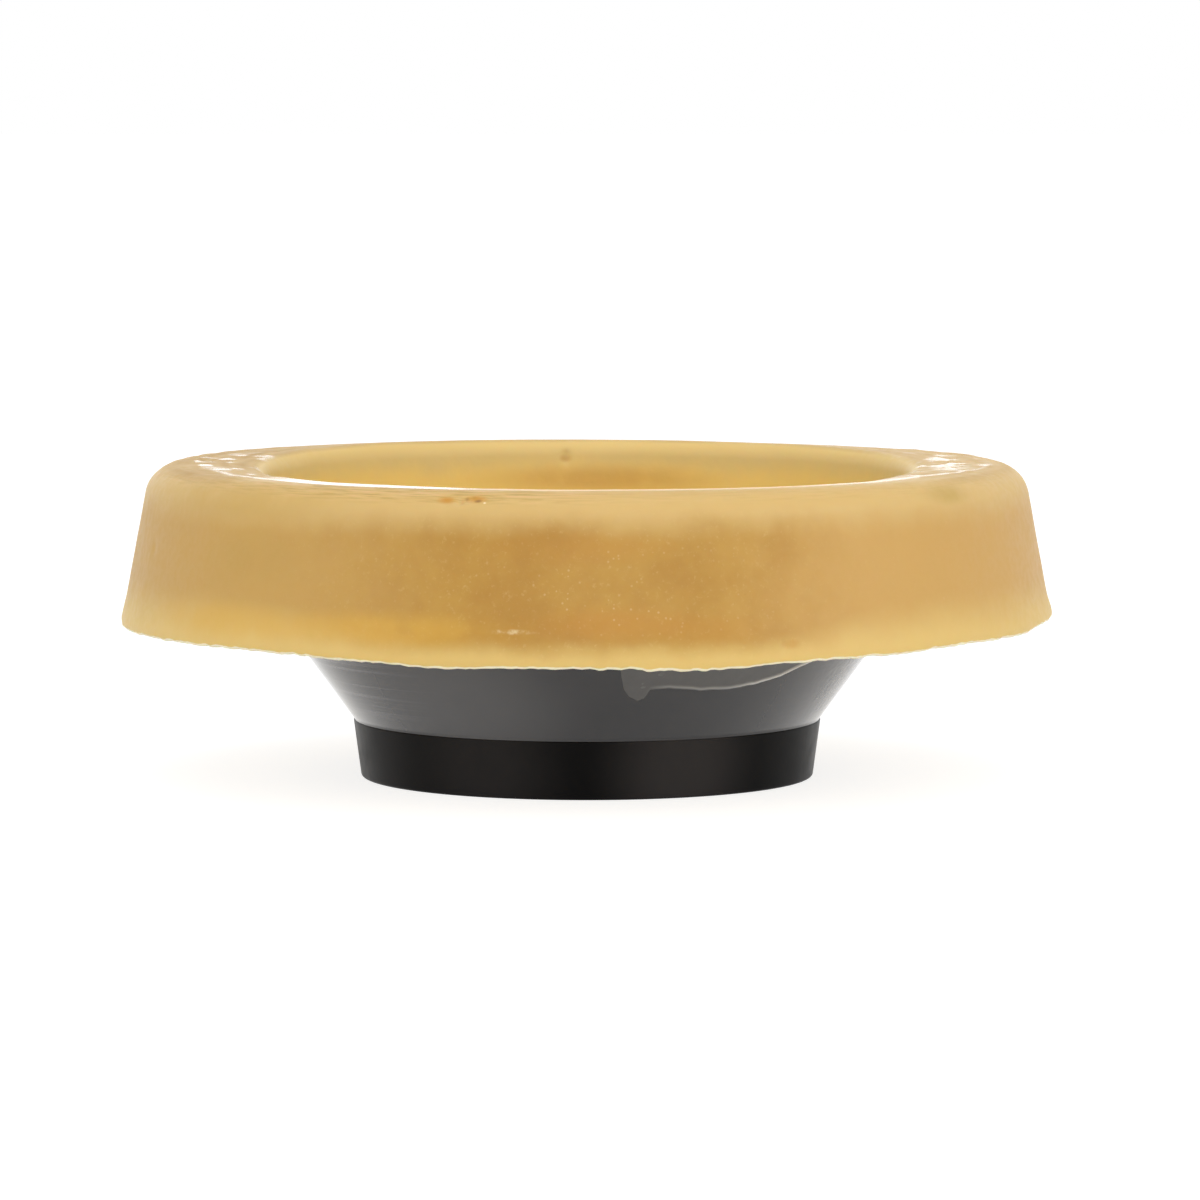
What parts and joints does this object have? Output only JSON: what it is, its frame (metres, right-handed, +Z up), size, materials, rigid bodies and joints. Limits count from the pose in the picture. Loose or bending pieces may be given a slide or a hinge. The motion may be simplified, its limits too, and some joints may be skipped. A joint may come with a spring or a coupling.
{
  "type": "toilet pan seal",
  "caption": "Wax toilet pan seal: a tapered wax ring cast round the flange of a flared plastic horn that guides the waste into the pipe.",
  "frame": {"origin": "centre of the horn's lower end face, on which the seal stands", "axes": "+Z up along the waste's axis, from the horn's lower end to the wax ring's top; X and Y are any two level directions"},
  "size_m": [0.1398, 0.1398, 0.0472],
  "materials": {
    "wax": "soft honey-coloured wax, satin, with a smeared glossy top",
    "black_plastic": "smooth black moulded polyethylene, satin"
  },
  "bodies": {
    "root": {"wax_ring": "wax", "horn": "black_plastic"}
  },
  "joints": []
}
